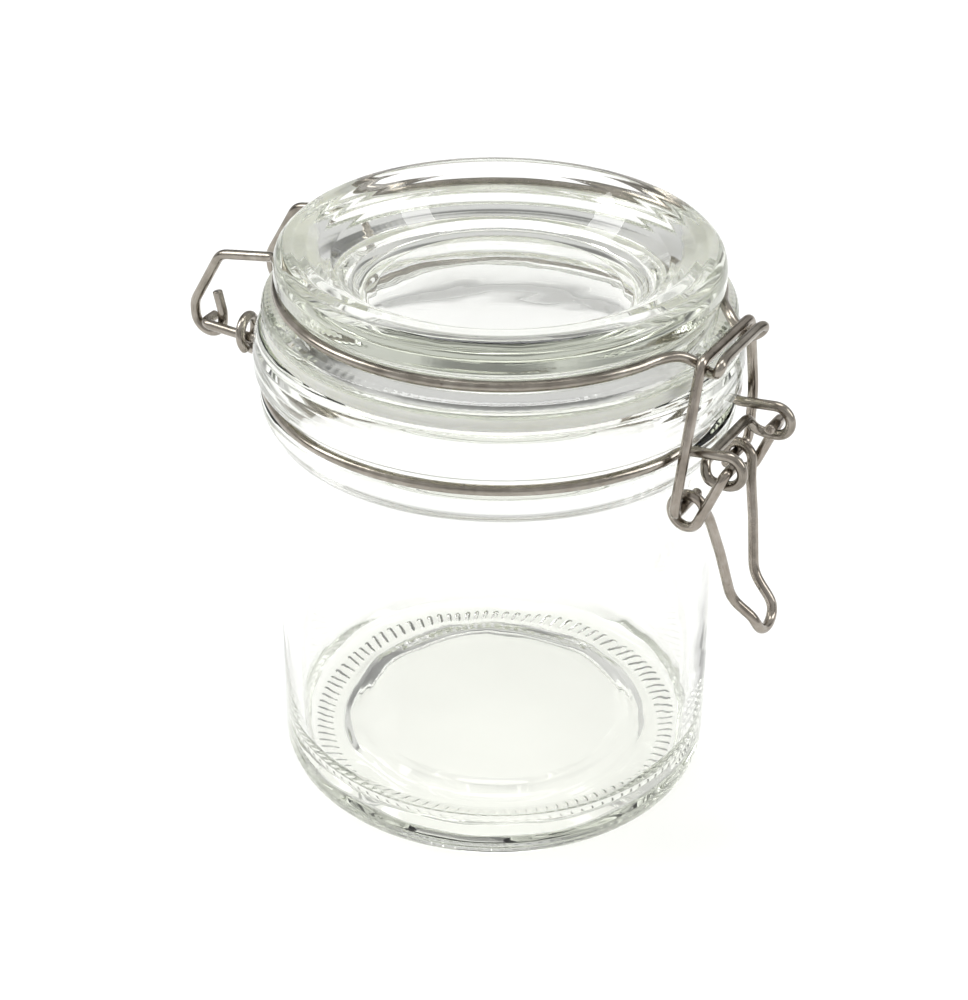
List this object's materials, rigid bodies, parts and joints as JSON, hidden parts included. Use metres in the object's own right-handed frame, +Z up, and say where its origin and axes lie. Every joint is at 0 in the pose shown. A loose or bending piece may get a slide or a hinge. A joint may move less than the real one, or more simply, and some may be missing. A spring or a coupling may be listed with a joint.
{
  "type": "lidded glass canister",
  "caption": "Round clear glass storage jar with a hinged glass lid, a pale seal and a stainless wire clip-top latch that pulls the lid shut.",
  "frame": {"origin": "on the standing plane, at the middle of the whole plan with the wires included; the jar's own axis is parallel to Z and stands at x = +1.65 mm", "axes": "+Z up along the jar; +X towards the latch and its handle, so the lid's hinge is at -X; the X-Z plane is the plane of symmetry"},
  "size_m": [0.1273, 0.0966, 0.1167],
  "materials": {
    "clear_glass": "clear pressed soda-lime glass with a faint grey-green tint",
    "silicone_seal": "pale off-white silicone, slightly translucent",
    "stainless_wire": "drawn round stainless wire, satin to bright"
  },
  "bodies": {
    "base": {"glass_jar": "clear_glass", "neck_ring_wire": "stainless_wire", "hinge_bracket_wire": "stainless_wire"},
    "lid": {"glass_lid": "clear_glass", "lid_ring_wire": "stainless_wire", "seal_ring": "silicone_seal"},
    "lever": {"lever_handle": "stainless_wire"},
    "bail": {"locking_bail": "stainless_wire"}
  },
  "joints": [
    {"name": "lid_hinge", "type": "hinge", "parent": "base", "child": "lid", "pos_m": [-0.05875, 0, 0.0899], "axis": [0, -1, 0], "range_deg": [0, 180]},
    {"name": "lever_swing", "type": "hinge", "parent": "base", "child": "lever", "pos_m": [0.05695, 0, 0.0875], "axis": [0, -1, 0], "range_deg": [0, 105]},
    {"name": "bail_swing", "type": "hinge", "parent": "lever", "child": "bail", "pos_m": [0.04885, 0, 0.078], "axis": [0, -1, 0], "range_deg": [-136.5, 0]}
  ],
  "couplings": [
    {"joint": "bail_swing", "follows": "lever_swing", "ratio": -1.3}
  ]
}
